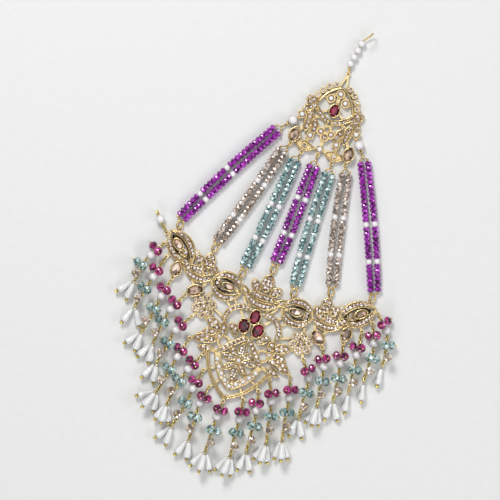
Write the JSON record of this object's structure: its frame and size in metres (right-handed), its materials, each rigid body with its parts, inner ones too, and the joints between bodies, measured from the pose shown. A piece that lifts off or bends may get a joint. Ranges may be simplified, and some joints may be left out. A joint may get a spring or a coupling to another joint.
{
  "type": "headpiece",
  "caption": "Passa jhoomar: pierced gold plaques with cut stones, joined by double bead strands, with a fringe of glass beads and teardrop pearls below and a pearl string with a hair hook.",
  "frame": {"origin": "on the back face of the lower plaque, at the middle of its ruby flower", "axes": "+X to the right of the piece seen from its front, +Y from the lower plaque to the hair hook, +Z out of the front; the piece lies on its back at Z = 0"},
  "size_m": [0.1276, 0.2128, 0.0084],
  "materials": {
    "gold_cast": "pale gold plating on cast brass, polished",
    "gold_wire": "gold plating on thin brass wire and chain",
    "ruby_glass": "foiled dark ruby glass, cut and polished",
    "smoky_glass": "foiled smoky champagne glass, cut and polished",
    "purple_glass": "purple cut glass beads",
    "magenta_glass": "magenta cut glass beads",
    "aqua_glass": "pale aqua cut glass beads with a lustre",
    "champagne_glass": "champagne cut glass beads with a silvery lustre",
    "pearl": "white imitation pearl",
    "ribbed_pearl": "white ribbed imitation pearl with a faint lustre"
  },
  "bodies": {
    "root": {"top_plaque": "gold_cast", "lower_plaque": "gold_cast", "hair_hook": "gold_wire", "hook_pearls": "pearl", "ruby_crown": "ruby_glass", "ruby_upper": "ruby_glass", "ruby_left": "ruby_glass", "ruby_right": "ruby_glass", "pear_stone_top_left": "smoky_glass", "pear_stone_top_right": "smoky_glass", "pear_stone_left": "smoky_glass", "pear_stone_right": "smoky_glass", "oval_stone_left": "smoky_glass", "oval_stone_right": "smoky_glass", "marquise_stone_left": "smoky_glass", "marquise_stone_right": "smoky_glass", "leaf_stone_left": "smoky_glass", "leaf_stone_right": "smoky_glass", "side_pearl_left": "pearl", "side_pearl_right": "pearl", "claw_pearl": "pearl", "strand_links": "gold_wire", "strand_rings": "gold_wire", "strand_purple_left": "purple_glass", "strand_champagne_left": "champagne_glass", "strand_aqua_left": "aqua_glass", "strand_purple_centre": "purple_glass", "strand_aqua_right": "aqua_glass", "strand_champagne_right": "champagne_glass", "strand_purple_right": "purple_glass", "drop_wires_left": "gold_wire", "drop_wires_centre": "gold_wire", "drop_wires_right": "gold_wire", "drop_pearls_left": "pearl", "drop_pearls_centre": "pearl", "drop_pearls_right": "pearl", "magenta_beads_left": "magenta_glass", "magenta_beads_centre": "magenta_glass", "magenta_beads_right": "magenta_glass", "aqua_beads_left": "aqua_glass", "aqua_beads_centre": "aqua_glass", "aqua_beads_right": "aqua_glass", "champagne_beads_left": "champagne_glass", "champagne_beads_centre": "champagne_glass", "champagne_beads_right": "champagne_glass", "teardrops_left": "ribbed_pearl", "teardrops_centre": "ribbed_pearl", "teardrops_right": "ribbed_pearl"}
  },
  "joints": []
}
